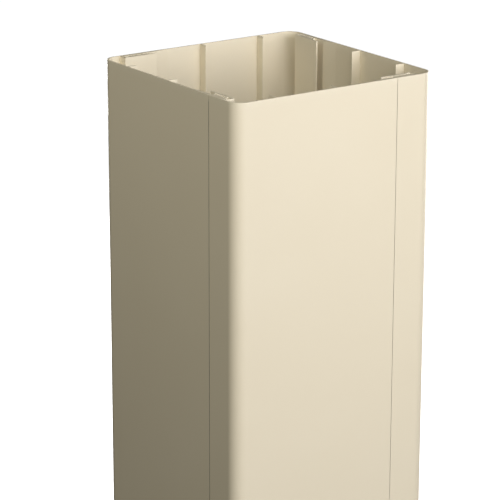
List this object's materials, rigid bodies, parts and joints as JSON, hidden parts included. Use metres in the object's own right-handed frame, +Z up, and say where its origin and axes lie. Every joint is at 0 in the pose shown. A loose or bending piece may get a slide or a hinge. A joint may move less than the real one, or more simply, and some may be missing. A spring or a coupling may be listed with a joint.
{
  "type": "porch column wrap",
  "caption": "Square snap-together column wrap of almond painted aluminium with rounded corners, to clad a porch post.",
  "frame": {"origin": "middle of the foot, where the wrap stands", "axes": "+Z up along the column; -Y out of the front side, whose seam is near its +X corner; +X out of the right side"},
  "size_m": [0.2032, 0.2032, 1],
  "materials": {
    "almond_paint": "baked almond paint of low sheen on extruded aluminium"
  },
  "bodies": {
    "root": {"front_panel": "almond_paint", "right_panel": "almond_paint", "back_panel": "almond_paint", "left_panel": "almond_paint"}
  },
  "joints": []
}
